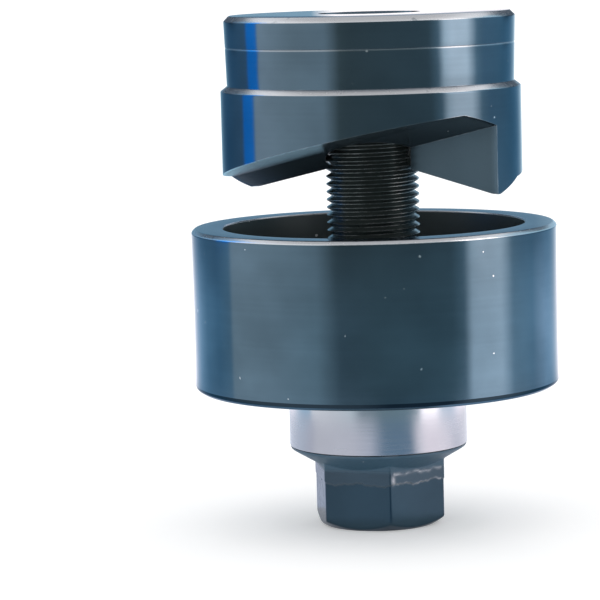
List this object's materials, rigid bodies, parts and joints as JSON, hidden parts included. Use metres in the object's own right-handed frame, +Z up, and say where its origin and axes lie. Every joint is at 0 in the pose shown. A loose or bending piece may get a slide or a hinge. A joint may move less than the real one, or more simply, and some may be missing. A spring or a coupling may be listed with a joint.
{
  "type": "knockout punch",
  "caption": "Screw-drawn hole punch for sheet metal: a fanged punch, a cup die and a ball thrust bearing on one draw stud with a hex head.",
  "frame": {"origin": "centre of the end face of the hex head that the tool stands on", "axes": "+Z up the draw stud towards the punch; the punch's two fangs lie on the X axis at +X and -X"},
  "size_m": [0.075, 0.075, 0.1053],
  "materials": {
    "punch_black_oxide": "glossy black oxide",
    "die_black_oxide": "glossy black oxide",
    "stud_black_oxide": "satin black oxide",
    "band_steel": "satin rolled steel",
    "bearing_steel": "polished",
    "cage_brass": "satin"
  },
  "bodies": {
    "bearing_top": {"bearing_band": "band_steel", "upper_race": "bearing_steel"},
    "die": {"die": "die_black_oxide"},
    "draw_stud": {"draw_stud": "stud_black_oxide", "lower_race": "bearing_steel"},
    "punch": {"punch": "punch_black_oxide"},
    "ball_set": {"ball_cage": "cage_brass", "ball_01": "bearing_steel", "ball_02": "bearing_steel", "ball_03": "bearing_steel", "ball_04": "bearing_steel", "ball_05": "bearing_steel", "ball_06": "bearing_steel", "ball_07": "bearing_steel", "ball_08": "bearing_steel", "ball_09": "bearing_steel", "ball_10": "bearing_steel", "ball_11": "bearing_steel", "ball_12": "bearing_steel", "ball_13": "bearing_steel", "ball_14": "bearing_steel"}
  },
  "joints": [
    {"name": "punch_travel", "type": "slide", "parent": "bearing_top", "child": "punch", "axis": [0, 0, 1], "range_m": [-0.0254, 0.0254]},
    {"name": "screw_turn", "type": "hinge", "parent": "bearing_top", "child": "draw_stud", "pos_m": [0, 0, 0], "axis": [0, 0, 1], "range_deg": [-5761, 5761]},
    {"name": "ball_orbit", "type": "hinge", "parent": "bearing_top", "child": "ball_set", "pos_m": [0, 0, 0], "axis": [0, 0, 1], "range_deg": [-2881, 2881]},
    {"name": "die_lift", "type": "slide", "parent": "bearing_top", "child": "die", "axis": [0, 0, 1], "range_m": [0, 0.006]}
  ],
  "couplings": [
    {"joint": "screw_turn", "follows": "punch_travel", "rad_per_m": -3957.9},
    {"joint": "ball_orbit", "follows": "punch_travel", "rad_per_m": -1979}
  ]
}
